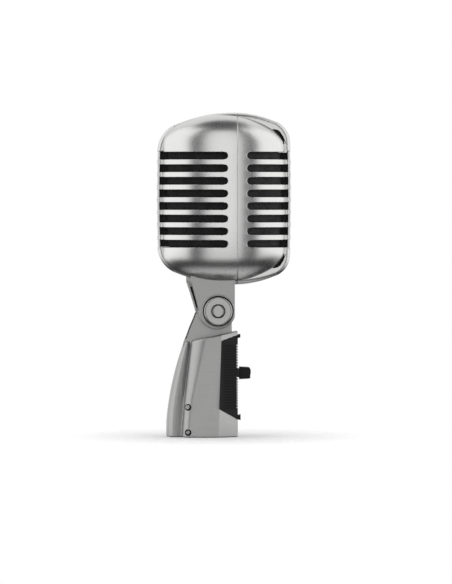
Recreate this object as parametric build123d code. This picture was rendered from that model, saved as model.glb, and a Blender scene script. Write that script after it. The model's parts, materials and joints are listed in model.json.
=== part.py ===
from build123d import *
import os
import math

# Stand-mount vocal microphone with a tilting swivel base and a slide switch.
# Frame: millimetres, +Z up, front = -Y, rear = +Y, lateral = X.
# Origin: centre of the stand-thread socket on the flat underside of the base.

# ------------------------------------------------------------------ sizes
HEAD_CY = -3.78          # head centre, Y
HEAD_CZ = 138.2          # head centre, Z
HEAD_HALF_H = 50.06      # half height of the head
HEAD_HALF_W = 27.8       # half width of the head
PLAN_N = 2.5             # exponent of the plan section
FRONT_N = 3.0            # exponent of the front outline
SEAM_Y = -11.57          # plane where the two casing halves meet
WALL = 2.2               # casing wall
BAND_HALF_W = 10.0       # half width of the raised centre band
SLOT_TOP_Z = 163.15      # centre of the top slot
SLOT_PITCH = 7.285
SLOT_H = 4.27
SLOT_COUNT = 8
SLOT_REAR_Y = -6.15      # rounded end of the rear slots, beside the seam
SLOT_FRONT_Y = -17.17    # rounded end of the front slots
RIB_W = 2.2              # vertical ribs of the centre band
U = 0.5828               # table unit of the profile tables below, mm

PIVOT_Y = -0.5
PIVOT_Z = 73.0
FORK_IN = 6.2            # inner face of the fork plates, X
FORK_MID = 9.6
FORK_OUT = 12.0          # outer face of the fork plates, X
TONGUE_HALF = 5.7        # half thickness of the base tongue
BOLT_R = 3.0
CAP_R = 8.25
RING_R = 9.3

BASE_W0 = 15.0           # half width of the base at the floor
BASE_W1 = 13.2           # half width of the base at the shoulder
THREAD_R = 7.4           # minor radius of the 5/8 inch stand thread
INSERT_R = 9.4
INSERT_L = 16.0
CONN_Y = 19.8            # axis of the cable connector
CONN_R = 8.1             # bore that takes the cable plug
SWITCH_TRAVEL = 4.8
KNOB_Z = 36.7

os.makedirs("parts", exist_ok=True)


def save(shape, node):
    export_step(shape, "parts/%s.step" % node)


def box(x0, x1, y0, y1, z0, z1):
    return Pos((x0 + x1) / 2, (y0 + y1) / 2, (z0 + z1) / 2) * Box(x1 - x0, y1 - y0, z1 - z0)


def rod_x(r, x0, x1, y, z):
    return Pos((x0 + x1) / 2, y, z) * Rot(0, 90, 0) * Cylinder(r, x1 - x0)


def rod_y(r, y0, y1, x, z):
    return Pos(x, (y0 + y1) / 2, z) * Rot(90, 0, 0) * Cylinder(r, y1 - y0)


def rod_z(r, z0, z1, x, y):
    return Pos(x, y, (z0 + z1) / 2) * Cylinder(r, z1 - z0)


def yz_face(points):
    # closed polygon in the YZ plane
    return make_face(Polyline([(0, a, b) for a, b in points], close=True))


def extrude_x(face, x0, x1):
    return Pos(x0, 0, 0) * extrude(face, x1 - x0, dir=(1, 0, 0))


def one(shape):
    s = shape.solids()
    s.sort(key=lambda k: -k.volume)
    return s[0]


# ------------------------------------------------------------------ head
def quarter(a, b, r1, alpha, r2, t):
    # three tangent arcs from (a, 0) to (0, b), all offset inward by t
    u = (math.cos(alpha), math.sin(alpha))
    c1 = (a - r1, 0.0)
    c3 = (0.0, b - r2)
    w = (c1[0] + r1 * u[0] - c3[0], c1[1] + r1 * u[1] - c3[1])
    r = (w[0] ** 2 + w[1] ** 2 - r2 ** 2) / (2 * (w[0] * u[0] + w[1] * u[1] - r2))
    ub = ((w[0] - r * u[0]) / (r2 - r), (w[1] - r * u[1]) / (r2 - r))
    beta = math.atan2(ub[1], ub[0])
    c2 = (c1[0] + (r1 - r) * u[0], c1[1] + (r1 - r) * u[1])
    arcs = []
    for c, rad, a0, a1 in ((c1, r1, 0.0, alpha), (c2, r, alpha, beta), (c3, r2, beta, math.pi / 2)):
        rr = rad - t
        arcs.append([(c[0] + rr * math.cos(q), c[1] + rr * math.sin(q)) for q in (a0, (a0 + a1) / 2, a1)])
    return arcs


def rounded(a, b, r1, alpha, r2, t, place):
    q = quarter(a, b, r1, alpha, r2, t)
    edges = []
    for sx, sy, rev in ((1, 1, False), (-1, 1, True), (-1, -1, False), (1, -1, True)):
        for arc in (reversed(q) if rev else q):
            p = [place(sx * i, sy * j) for i, j in (reversed(arc) if rev else arc)]
            edges.append(ThreePointArc(*p))
    return make_face(edges)


# the three outlines stand a little clear of each other where they would touch, so that their edges meet at clean corners
PLAN = (HEAD_HALF_W, 37.9, 80.0, math.radians(16.0), 34.0)        # half width, half depth, side radius, its angle, end radius
SIDE = (37.36, 49.8, 500.0, math.radians(3.0), 48.0)             # half depth, half height
FACE = (HEAD_HALF_W + 0.3, 50.2, 150.0, math.radians(13.0), 32.0) # half width, half height


def head_body(off):
    plan = extrude(rounded(*PLAN, off, lambda x, y: (x, HEAD_CY + y, 70.0)), 140, dir=(0, 0, 1))
    side = extrude(rounded(*SIDE, off, lambda y, z: (-40.0, HEAD_CY + y, HEAD_CZ + z)), 80, dir=(1, 0, 0))
    face = extrude(rounded(*FACE, off, lambda x, z: (x, HEAD_CY - 60.0, HEAD_CZ + z)), 120, dir=(0, 1, 0))
    for trio in ((plan, side, face), (plan, face, side), (side, face, plan)):
        try:
            res = one(trio[0] & trio[1] & trio[2])
            if res.volume > 100000:
                return res
        except Exception:
            pass
    raise RuntimeError("head body %s" % off)


# crest of the centre band in the YZ plane, in tangent arcs; its top is ahead of the head's centre
APEX_Y = HEAD_CY - 5.5
CREST_F = (33.5, 50.06, 900.0, math.asin(33.0 / 900.0), 60.0)
CREST_R = (44.55, 50.06, 900.0, math.asin(28.0 / 900.0), 84.0)


def band_face(t, x=0.0):
    qf = quarter(*CREST_F, t)
    qr = quarter(*CREST_R, t)
    edges = []
    for q, sy, sz, rev in ((qr, 1, 1, False), (qf, -1, 1, True), (qf, -1, -1, False), (qr, 1, -1, True)):
        for arc in (reversed(q) if rev else q):
            p = [(x, APEX_Y + sy * i, HEAD_CZ + sz * j) for i, j in (reversed(arc) if rev else arc)]
            edges.append(ThreePointArc(*p))
    return make_face(edges)


def band_solid(t, x0, x1):
    return extrude(band_face(t, x0), x1 - x0, dir=(1, 0, 0))


outer = head_body(0.0)
inner = head_body(WALL)
band_out = band_solid(0.0, -BAND_HALF_W, BAND_HALF_W)
band_in = band_solid(2.4, -(BAND_HALF_W - 2.4), BAND_HALF_W - 2.4)

solid_head = outer + band_out
cavity = inner + band_in
shell = one(solid_head - cavity)

# horizontal sound slots, with a rounded end beside the seam
cuts = []
for k in range(SLOT_COUNT):
    z = SLOT_TOP_Z - SLOT_PITCH * k
    r = SLOT_H / 2
    cuts.append(box(-40, 40, SLOT_REAR_Y + r, 60, z - r, z + r) + rod_x(r, -40, 40, SLOT_REAR_Y + r, z))
    cuts.append(box(-40, 40, -70, SLOT_FRONT_Y - r, z - r, z + r) + rod_x(r, -40, 40, SLOT_FRONT_Y - r, z))
slots = cuts[0]
for c in cuts[1:]:
    slots = slots + c
shell = shell - slots

# vertical ribs of the band, tied into every bar
zone_z0 = SLOT_TOP_Z - SLOT_PITCH * 7 - 3.6
zone_z1 = SLOT_TOP_Z + 3.6


def rib(xc, w, front):
    y0, y1 = (-70, HEAD_CY - 30) if front else (HEAD_CY + 30, 70)
    strip = band_solid(0.25, xc - w / 2, xc + w / 2) - band_solid(1.95, xc - w / 2 - 1, xc + w / 2 + 1)
    return strip & box(-12, 12, y0, y1, zone_z0, zone_z1)


ribs_f = [rib(-8.7, RIB_W, True), rib(0, 2.6, True), rib(8.7, RIB_W, True)]
ribs_r = [rib(-8.7, RIB_W, False), rib(0, 2.6, False), rib(8.7, RIB_W, False)]

# crescent vents in the side walls of the band, at the corners of the front half


def crescent(sign):
    o = [(-50.17, 68.9), (-53.2, 68.4), (-55.6, 66.6), (-58.9, 62.0), (-61.8, 54.4), (-60.2, 56.0), (-57.6, 60.0), (-54.0, 64.2)]
    return extrude_x(yz_face([(HEAD_CY + i * U, HEAD_CZ + sign * j * U) for i, j in o]), -10.6, 10.6)


front = shell & box(-60, 60, -90, SEAM_Y, 60, 220)
front = one(front)
for r in ribs_f:
    front = front + r
for sgn in (1, -1):
    front = front - (crescent(sgn) - box(-7.4, 7.4, -90, 0, 60, 220))
front = one(front)
rear = one(shell & box(-60, 60, SEAM_Y, 90, 60, 220))
for r in ribs_r:
    rear = rear + r
# opening in the bottom of the rear half for the neck block
NB = (-10.2, 18.2)       # neck block, Y
rear = rear - box(-FORK_OUT - 0.08, FORK_OUT + 0.08, NB[0] - 0.08, NB[1] + 0.08, 60, 100)
rear = one(rear)

# ledges inside the rear half, which the clamp plate pulls against the neck block
for sx in (-1, 1):
    ledge = box(min(sx * 12.3, sx * 15.4), max(sx * 12.3, sx * 15.4), -8.8, 20.3, 88, 101.03) & head_body(WALL - 0.6)
    rear = rear + ledge

# screws that close the casing: into bosses at the seam
boss_pts = [(-17.0, 106.0), (17.0, 106.0), (-16.0, 171.5), (16.0, 171.5)]
head_shrunk = head_body(WALL - 0.6)
for bx, bz in boss_pts:
    col = rod_y(2.6, SEAM_Y + 0.001, SEAM_Y + 9, bx, bz) & inner
    web = box(bx - 1.2 if bx > 0 else bx - 14, bx + 14 if bx > 0 else bx + 1.2, SEAM_Y + 0.001, SEAM_Y + 6, bz - 1.2, bz + 1.2) & head_shrunk
    rear = rear + col + web
    colf = rod_y(2.6, SEAM_Y - 9, SEAM_Y - 0.001, bx, bz) & inner
    webf = box(bx - 1.2 if bx > 0 else bx - 14, bx + 14 if bx > 0 else bx + 1.2, SEAM_Y - 6, SEAM_Y - 0.001, bz - 1.2, bz + 1.2) & head_shrunk
    front = front + colf + webf
for bx, bz in boss_pts:
    rear = rear - rod_y(1.3, SEAM_Y - 1, SEAM_Y + 12, bx, bz)
    front = front - rod_y(1.25, SEAM_Y - 7, SEAM_Y + 1, bx, bz)
rear = one(rear)
front = one(front)
save(front, "front_casing")
save(rear, "rear_casing")
screws = []
for bx, bz in boss_pts:
    screws.append(rod_y(1.25, SEAM_Y - 6.5, SEAM_Y + 9.0, bx, bz) + rod_y(2.3, SEAM_Y + 9.0, SEAM_Y + 10.6, bx, bz))
save(Compound(children=screws), "casing_screws")

# cloth-faced foam liners behind the slots
lin = head_body(WALL + 0.35) - head_body(WALL + 1.75)
keep = box(-40, 40, -70, 70, SLOT_TOP_Z - SLOT_PITCH * 7 - 4.6, SLOT_TOP_Z + 4.6)
lin = lin & keep
for bx, bz in boss_pts:
    s = 1 if bx > 0 else -1
    lin = lin - box(min(bx - 3.2 * s, bx + 16 * s), max(bx - 3.2 * s, bx + 16 * s), SEAM_Y - 9.6, SEAM_Y + 9.6, bz - 3.2, bz + 3.2)
save(one(lin & box(-60, 60, -90, SEAM_Y - 0.3, 60, 220)), "front_foam_liner")
save(one(lin & box(-60, 60, SEAM_Y + 0.3, 90, 60, 220)), "rear_foam_liner")

# ------------------------------------------------------------------ neck fork
LEFT_B = [(18.2, 90.2), (17.27, 87.9), (16.4, 85.5), (15.8, 83.2), (15.2, 80.9), (14.6, 78.6), (14.05, 76.2), (13.5, 74.2), (12.9, 73.0)]
ARC_C = (0.1, 73.3)
ARC_R = 10.9


def on_arc(deg):
    return (ARC_C[0] + ARC_R * math.cos(math.radians(deg)), ARC_C[1] + ARC_R * math.sin(math.radians(deg)))


def fork_face(left, mid, a0, top):
    # three tangible edges: the rear outline, the round end about the pivot, and the straight front and top
    p = on_arc(a0)
    q = on_arc(-160)
    up = ThreePointArc((0, *left[0]), (0, *mid), (0, *left[-1]))
    down = ThreePointArc((0, *p), (0, *on_arc(-86)), (0, *q))
    return make_face([up, Line((0, *left[-1]), (0, *p)), down,
                      Polyline([(0, *q), (0, -10.2, 72.6), (0, -10.2, 99.0), (0, top, 99.0), (0, *left[0])])])


LEFT_A = [(16.7, 90.2), (15.4, 87.2), (14.6, 84.7), (13.4, 79.9), (12.0, 74.6), (11.1, 72.6)]
face_b = fork_face(LEFT_B, (15.2, 80.9), -12, 18.2)
face_a = fork_face(LEFT_A, (13.75, 81.4), -14, 16.7)
fork = extrude_x(face_b, -FORK_MID, FORK_MID) + extrude_x(face_a, -FORK_OUT, FORK_OUT)
gap = box(-FORK_IN, FORK_IN, -20, 30, 50, 84.6) + rod_x(12.3, -FORK_IN, FORK_IN, PIVOT_Y, PIVOT_Z)
fork = fork - gap
fork = fork - rod_x(BOLT_R + 0.05, -20, 20, PIVOT_Y, PIVOT_Z)
fork = fork - rod_z(3.0, 80, 101, 0, 4.0)
fork = fork + box(-FORK_OUT + 0.3, FORK_OUT - 0.3, -9.9, 17.9, 98.9, 101.0)
fork = fork - rod_z(3.0, 80, 102, 0, 4.0)
for sx in (-8.0, 8.0):
    fork = fork - rod_z(1.25, 92, 102, sx, 13.0)
    fork = fork - rod_z(1.25, 92, 102, sx, -5.5)
fork = one(fork)
try:
    es = [e for e in fork.edges() if abs(abs(e.center().X) - FORK_OUT) < 0.01 and e.center().Z < 90]
    fork = one(fillet(es, 0.5))
except Exception as ex:
    print("fork fillet failed", ex)
save(fork, "neck_fork")

# clamp plate inside the head and its screws
plate = box(-15.5, 15.5, -9.0, 20.5, 101.05, 103.05) - rod_z(4.2, 99, 105, 0, 4.0)
for sx in (-8.0, 8.0):
    for sy in (13.0, -5.5):
        plate = plate - rod_z(1.4, 99, 105, sx, sy)
for sx in (-11.0, 11.0):
    plate = plate - rod_z(1.0, 99, 105, sx, 4.0)
save(one(plate), "neck_clamp_plate")
scr = []
for sx in (-8.0, 8.0):
    for sy in (13.0, -5.5):
        scr.append(rod_z(1.25, 93.5, 103.05, sx, sy) + rod_z(2.4, 103.05, 104.65, sx, sy))
save(Compound(children=scr), "neck_screws")

# pivot hardware
bolt = rod_x(BOLT_R, -13.4, 14.6, PIVOT_Y, PIVOT_Z) + rod_x(5.0, -15.0, -12.7, PIVOT_Y, PIVOT_Z)
save(one(bolt), "pivot_bolt")
nut = Pos(12.7 + 1.1, PIVOT_Y, PIVOT_Z) * Rot(0, 90, 0) * extrude(RegularPolygon(4.6, 6), 1.1, both=True)
nut = one(nut - rod_x(BOLT_R, 10, 20, PIVOT_Y, PIVOT_Z))
save(nut, "pivot_nut")


def ring_x(ro, ri, x0, x1):
    return rod_x(ro, x0, x1, PIVOT_Y, PIVOT_Z) - rod_x(ri, x0 - 1, x1 + 1, PIVOT_Y, PIVOT_Z)


save(Compound(children=[ring_x(RING_R, BOLT_R + 0.05, -12.7, -12.0), ring_x(RING_R, BOLT_R + 0.05, 12.0, 12.7)]), "pivot_rings")


def cap(sign):
    # round chrome cap with a ring groove and a raised button
    face_x = 16.4
    prof = [(12.7, 6.7), (12.7, CAP_R), (15.3, CAP_R), (face_x - 0.35, CAP_R - 0.35), (face_x, CAP_R - 1.1), (face_x, 4.1), (face_x - 0.9, 3.85),
            (face_x - 0.9, 3.35), (face_x, 3.1), (face_x + 0.15, 2.2), (face_x + 0.2, 0.0), (15.1, 0.0), (15.1, 6.7)]
    f = make_face(Polyline([(a, b, 0) for a, b in prof], close=True))
    s = revolve(f, Axis.X)
    s = Pos(0, PIVOT_Y, PIVOT_Z) * s
    if sign < 0:
        s = mirror(s, Plane.YZ)
    return one(s)


save(cap(-1), "pivot_cap_near")
save(cap(1), "pivot_cap_far")
save(Compound(children=[ring_x(8.6, BOLT_R + 0.08, -FORK_IN, -TONGUE_HALF - 0.06), ring_x(8.6, BOLT_R + 0.08, TONGUE_HALF + 0.06, FORK_IN)]), "friction_washers")

# ------------------------------------------------------------------ cartridge inside the head
CZ = 138.0
CY = -8.0
ch = rod_y(17.0, CY - 12, CY + 16, 0, CZ) - rod_y(15.6, CY - 13, CY - 2, 0, CZ) - rod_y(13.0, CY - 3, CY + 14.4, 0, CZ)
for a in range(0, 360, 45):
    ch = ch - Pos(0, 0, CZ) * Rot(0, a, 0) * box(-1.6, 1.6, CY + 13, CY + 17, 8.5, 11.8)
save(one(ch), "cartridge_housing")
dia = rod_y(15.5, CY - 6.0, CY - 5.5, 0, CZ) + (Pos(0, CY - 6.0, CZ) * Rot(90, 0, 0) * Cone(7.0, 3.0, 1.4, align=(Align.CENTER, Align.CENTER, Align.MIN)))
save(one(dia), "cartridge_diaphragm")
coil = rod_y(6.8, CY - 5.5, CY + 0.5, 0, CZ) - rod_y(6.3, CY - 6, CY + 1, 0, CZ)
save(one(coil), "voice_coil")
mag = rod_y(12.9, CY + 2.0, CY + 10.0, 0, CZ) - rod_y(8.2, CY + 1, CY + 11, 0, CZ)
save(one(mag), "cartridge_magnet")
pole = rod_y(12.9, CY + 10.0, CY + 12.5, 0, CZ) + rod_y(6.0, CY - 1.0, CY + 10.0, 0, CZ)
save(one(pole), "pole_piece")
topp = rod_y(12.9, CY + 0.0, CY + 2.0, 0, CZ) - rod_y(7.2, CY - 1, CY + 3, 0, CZ)
save(one(topp), "top_plate")
scrn = rod_y(15.55, CY - 11.6, CY - 10.8, 0, CZ)
for a in range(0, 360, 30):
    scrn = scrn - Pos(0, 0, CZ) * Rot(0, a, 0) * rod_y(1.5, CY - 13, CY - 9, 0, 11.0)
for a in range(0, 360, 60):
    scrn = scrn - Pos(0, 0, CZ) * Rot(0, a, 0) * rod_y(1.5, CY - 13, CY - 9, 0, 6.0)
save(one(scrn - rod_y(1.5, CY - 13, CY - 9, 0, CZ)), "cartridge_screen")
sm = rod_y(19.6, CY + 2, CY + 9, 0, CZ) - rod_y(17.0, CY + 1, CY + 10, 0, CZ)
save(one(sm), "shock_mount_ring")
br = rod_y(21.2, CY + 3.0, CY + 8.0, 0, CZ) - rod_y(19.6, CY + 2, CY + 9, 0, CZ)
br = br + box(-9, 9, CY + 3.0, CY + 8.0, 105.2, CZ - 19.9)
br = br - rod_y(19.6, CY + 2, CY + 9, 0, CZ)
br = br + box(-12.5, 12.5, CY + 3.0, 12.0, 103.1, 105.2)
br = br - rod_z(4.2, 100, 107, 0, 4.0)
for sx in (-8.0, 8.0):
    br = br - rod_z(2.6, 100, 105.3, sx, -5.5)
    br = br - rod_z(2.6, 100, 105.3, sx, 13.0)
for sx in (-11.0, 11.0):
    br = br - rod_z(1.0, 100, 107, sx, 4.0)
save(one(br), "cartridge_bracket")
save(Compound(children=[rod_z(0.98, 101.5, 105.2, sx, 4.0) + rod_z(1.9, 105.2, 106.4, sx, 4.0) for sx in (-11.0, 11.0)]), "bracket_screws")
tr = box(-8, 8, 12.4, 24.0, 126, 146) + box(-6.2, 6.2, 11.8, 24.8, 129.5, 142.5)
save(one(tr), "transformer")
arm = box(-5, 5, 8.02, 12.4, 122.0, 126.0) + box(-5, 5, 10.6, 22.0, 124.4, 126.0)
arm = arm + box(-5, 5, 8.02, 9.8, 117, 126)
save(one(arm & box(-5, 5, 8.05, 40, 100, 126.0)), "transformer_bracket")
lead = rod_z(0.9, 99.5, 123.9, 0.9, 4.0)
lead2 = rod_z(0.9, 99.5, 123.9, -0.95, 4.0)
save(Compound(children=[rod_z(0.9, 96.0, 116.0, 1.3, 2.7), rod_z(0.9, 96.0, 116.0, -1.3, 2.7)]), "head_leads")

# ------------------------------------------------------------------ base
REAR_Y = [(0.0, 29.9), (10.0, 29.7), (20.0, 28.5), (30.0, 26.7), (40.0, 24.3), (50.0, 21.3), (58.0, 18.6), (66.0, 15.6)]
FLUTE_Y = [(0.0, 21.2), (24.6, 19.25), (51.7, 16.0), (66.0, 13.9)]


def lerp(tab, z):
    for (z0, a0), (z1, a1) in zip(tab, tab[1:]):
        if z <= z1:
            return a0 + (a1 - a0) * (z - z0) / (z1 - z0)
    return tab[-1][1]


def base_wire(z, off=0.0, front_off=None):
    fo = off if front_off is None else front_off
    t = z / 62.0
    yr = lerp(REAR_Y, z) - off
    yf = lerp(FLUTE_Y, z) + 0.2 * off
    w = BASE_W0 + (BASE_W1 - BASE_W0) * t - off
    nose = 9.7 - 3.3 * t - off           # half width of the rear ridge
    yc = -0.8 - 1.7 * t + 0.35 * off     # crease
    yfr = -11.87 - 0.0 * t + fo          # front face
    xf = 7.6 - 0.6 * t - 0.5 * off
    dy = yr - yf
    half = [(0.0, yr), (nose * 0.60, yr - dy * 0.10), (nose * 0.94, yr - dy * 0.36), (nose, yr - dy * 0.64), (nose - 0.1, yf + dy * 0.06),
            (nose + 0.35, yf - 0.9), (nose + (w - nose) * 0.42, yf - 3.0), (nose + (w - nose) * 0.78, yf - 6.2), (w - 0.10, yf - 10.0), (w, yf - 12.4)]
    right = [Vector(x, y, z) for x, y in half]
    left = [Vector(-x, y, z) for x, y in half[1:]]
    pts = list(reversed(left)) + right
    sp = Edge.make_spline(pts, tangents=[Vector(0, 1, 0), Vector(0, -1, 0)])
    e = [sp,
         Edge.make_line((w, half[-1][1], z), (w, yc, z)),
         Edge.make_line((w, yc, z), (xf, yfr, z)),
         Edge.make_line((xf, yfr, z), (-xf, yfr, z)),
         Edge.make_line((-xf, yfr, z), (-w, yc, z)),
         Edge.make_line((-w, yc, z), (-w, half[-1][1], z))]
    return Wire(e)


def base_body(off=0.0, front_off=None, z0=0.0, z1=64.0):
    zs = [0.0, 10.0, 20.0, 30.0, 40.0, 50.0, 58.0, 64.0]
    return Solid.make_loft([base_wire(z, off, front_off) for z in zs])


body = base_body()
# slanted shoulder
sh = extrude_x(yz_face([(40, 50.5), (17.4, 55.2), (-11.6, 61.25), (-40, 67.2), (-40, 90), (40, 90)]), -30, 30)
body = one(body - sh)

# tongue that rises between the fork plates
tl = [(20.6, 52.4), (19.7, 55.2), (18.7, 57.6), (17.8, 59.9), (17.0, 62.2), (16.05, 64.6), (15.1, 66.9), (14.1, 69.2), (13.3, 71.4)]
tongue_f = make_face([Spline([(0, a, b) for a, b in tl]),
                      Spline([(0, 13.3, 71.4), (0, 12.2, 73.2), (0, 9.4, 77.6), (0, 4.6, 81.2), (0, -0.5, 83.2), (0, -5.4, 81.9), (0, -9.0, 78.1), (0, -10.1, 73.2)]),
                      Polyline([(0, -10.1, 73.2), (0, -8.4, 66.5), (0, -8.4, 50.0), (0, 20.6, 50.0), (0, 20.6, 52.4)])])
tongue = extrude_x(tongue_f, -TONGUE_HALF, TONGUE_HALF)
try:
    es = [e for e in tongue.edges() if abs(abs(e.center().X) - TONGUE_HALF) < 0.01 and e.center().Y > 9.5]
    tongue = fillet(es, 1.6)
except Exception as ex:
    print("tongue fillet failed", ex)
# recessed flat on each side of the tongue
rec = extrude_x(yz_face([(17.6, 56.6), (12.3, 70.9), (7.1, 74.0), (7.1, 57.4)]), TONGUE_HALF - 0.5, TONGUE_HALF + 1)
tongue = tongue - rec - mirror(rec, Plane.YZ)
housing = body + tongue
housing = housing - rod_x(4.5, -20, 20, PIVOT_Y, PIVOT_Z)

# region of the switch cover on the tapering front
CQ = [(-2.3, 55.7), (-14.5, 59.95), (-14.5, 8.2), (-1.1, 16.2)]
creg = extrude_x(yz_face(CQ), -30, 30)
inner_b = base_body(2.0)
cover = (creg & base_body()) - inner_b
seat = extrude_x(yz_face([(-2.24, 55.80), (-14.5, 60.06), (-14.5, 8.05), (-1.02, 16.15)]), -30, 30) - base_body(2.04)
housing = housing - seat
# bores and wiring space
housing = housing - rod_z(INSERT_R, -1, INSERT_L, 0, 0)
housing = housing - rod_z(CONN_R, -1, 20.0, 0, CONN_Y)
housing = housing - rod_z(7.0, 19, 26.0, 0, CONN_Y - 0.7)
housing = housing - box(-6.4, 6.4, -13.0, 3.2, 20.5, 53.0)
housing = housing - box(-4.0, 4.0, 2.0, 15.0, 24.5, 44.0)
housing = housing - box(-4.0, 4.0, 2.0, 17.0, 24.5, 27.0)
housing = housing - rod_z(2.6, 40, 68, 0, 4.0)
for sx in (-1, 1):
    for zz in (17.2, 2.6):
        housing = housing - rod_x(1.0, min(sx * 5, sx * 20), max(sx * 5, sx * 20), 17.0, zz)
        housing = housing - rod_x(1.95, min(sx * 9.2, sx * 20), max(sx * 9.2, sx * 20), 17.0, zz)
        housing = housing - rod_x(1.95, min(sx * 10.4, sx * 20), max(sx * 10.4, sx * 20), 17.0, zz)
housing = one(housing)
save(housing, "base_housing")
save(one(rod_x(4.5, -5.65, 5.65, PIVOT_Y, PIVOT_Z) - rod_x(BOLT_R + 0.05, -7, 7, PIVOT_Y, PIVOT_Z)), "pivot_bushing")

# stand-thread insert and its lock screw
ins = rod_z(INSERT_R, 0.0, INSERT_L, 0, 0) - rod_z(THREAD_R, -1, INSERT_L + 1, 0, 0)
save(one(ins), "stand_thread_insert")

# cable connector: insulator, pins, retaining screws
insul = rod_z(CONN_R - 0.02, 14.0, 20.0, 0, CONN_Y)
pins = []
for a in (90, 210, 330):
    px_ = 4.6 * math.cos(math.radians(a))
    py_ = CONN_Y + 4.6 * math.sin(math.radians(a))
    insul = insul - rod_z(1.2, 13, 21, px_, py_)
    pins.append(rod_z(1.2, 5.2, 23.5, px_, py_))
for sx in (-1, 1):
    insul = insul - rod_x(1.0, min(sx * 4.9, sx * 9), max(sx * 4.9, sx * 9), 17.0, 17.2)
save(one(insul), "connector_insulator")
save(Compound(children=pins), "connector_pins")
cs = []
for sx in (-1, 1):
    a, b = sorted((sx * 5.2, sx * 9.2))
    c, d = sorted((sx * 9.2, sx * 10.3))
    s = rod_x(0.98, a, b, 17.0, 17.2) + rod_x(1.85, c, d, 17.0, 17.2)
    s = s - box(min(sx * 9.9, sx * 11), max(sx * 9.9, sx * 11), 15.5, 18.5, 16.95, 17.45)
    cs.append(one(s))
save(Compound(children=cs), "connector_screws")
cs = []
for sx in (-1, 1):
    a, b = sorted((sx * 8.6, sx * 9.2))
    c, d = sorted((sx * 9.2, sx * 10.3))
    cs.append(rod_x(0.98, a, b, 17.0, 2.6) + rod_x(1.85, c, d, 17.0, 2.6))
save(Compound(children=cs), "plug_stop_screws")

# switch cover: teeth, lips and the slot for the knob
comb = []
for i in range(24):
    z = 16.4 + 1.58 * i
    if z > 53.6:
        break
    comb.append(box(-20, 20, -20, -3.6, z - 0.55, z + 0.55))
comb = Compound(children=comb) - base_body(0.75)
cover = cover - comb
lip_t = extrude_x(yz_face([(-11.0, 57.0), (-13.35, 57.5), (-13.35, 59.3), (-11.0, 58.75)]), -7.0, 7.0)
lip_b = extrude_x(yz_face([(-11.0, 11.6), (-13.5, 12.3), (-13.5, 9.5), (-12.2, 9.75), (-11.0, 10.4)]), -7.4, 7.4)
cover = cover + lip_t + lip_b
cover = cover - box(-2.6, 2.6, -16, -8.0, KNOB_Z - SWITCH_TRAVEL - 3.3, KNOB_Z + 3.3)
cover = one(cover)
save(cover, "switch_cover")

# slide switch
sw = box(-6.2, 6.2, -7.6, -1.2, 23.0, 50.0) - box(-4.4, 4.4, -8.0, -3.0, 26.5, 46.5)
sw = sw + box(-6.2, 6.2, -8.6, -7.6, 47.3, 50.0) + box(-6.2, 6.2, -8.6, -7.6, 23.0, 25.7)
save(one(sw), "switch_body")
save(Compound(children=[box(-0.6, 0.6, -1.2, 2.6, z - 1.1, z + 1.1) for z in (28.0, 34.5, 41.0)]), "switch_terminals")
slid = box(-4.3, 4.3, -7.5, -3.2, KNOB_Z - 4.4, KNOB_Z + 4.4) + box(-2.0, 2.0, -12.6, -7.4, KNOB_Z - 2.6, KNOB_Z + 2.6)
save(one(slid), "switch_slider")
kn = make_face([Polyline([(0, -12.55, 33.15), (0, -12.55, 40.25), (0, -17.8, 40.0)]),
                Spline([(0, -17.8, 40.0), (0, -19.15, 38.9), (0, -19.4, 36.7), (0, -19.15, 34.5), (0, -17.8, 33.4)], tangents=[(0, -0.8, -0.1), (0, 0.8, -0.1)]),
                Polyline([(0, -17.8, 33.4), (0, -12.55, 33.15)])])
kn = extrude_x(kn, -4.2, 4.2) - box(-2.0, 2.0, -12.6, -11, 30, 44)
kn = kn - box(-2.02, 2.02, -12.61, -12.5, 30, 44)
try:
    es = [e for e in kn.edges() if abs(abs(e.center().X) - 4.2) < 0.01 and e.center().Y < -13]
    kn = fillet(es, 0.6)
except Exception as ex:
    print("knob fillet failed", ex)
save(one(kn), "switch_knob")
sleeve = rod_z(2.55, 45, 60, 0, 4.0) - rod_z(1.7, 44, 61, 0, 4.0)
save(one(sleeve), "wire_sleeve")
save(Compound(children=[rod_z(0.7, 27.5, 62.0, 0.75, 4.0), rod_z(0.7, 27.5, 62.0, -0.75, 4.0)]), "base_leads")
print("done")
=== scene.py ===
import bpy
import bmesh
import json
import math
import numpy as np
from mathutils import Vector, Matrix


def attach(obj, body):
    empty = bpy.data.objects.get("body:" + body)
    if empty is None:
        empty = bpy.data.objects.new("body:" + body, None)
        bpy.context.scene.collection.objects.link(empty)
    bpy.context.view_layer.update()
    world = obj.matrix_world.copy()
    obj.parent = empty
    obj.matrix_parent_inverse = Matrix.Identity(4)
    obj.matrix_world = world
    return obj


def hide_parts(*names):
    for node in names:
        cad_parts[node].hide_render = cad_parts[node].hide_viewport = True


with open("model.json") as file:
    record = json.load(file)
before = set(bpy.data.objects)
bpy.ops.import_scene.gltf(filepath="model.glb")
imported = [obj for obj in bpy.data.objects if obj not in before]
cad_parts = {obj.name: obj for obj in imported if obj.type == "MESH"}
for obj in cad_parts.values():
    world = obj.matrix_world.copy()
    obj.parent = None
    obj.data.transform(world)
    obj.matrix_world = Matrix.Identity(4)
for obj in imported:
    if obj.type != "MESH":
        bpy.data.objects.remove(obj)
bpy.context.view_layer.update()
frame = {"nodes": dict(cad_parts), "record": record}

MM = 0.001

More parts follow.
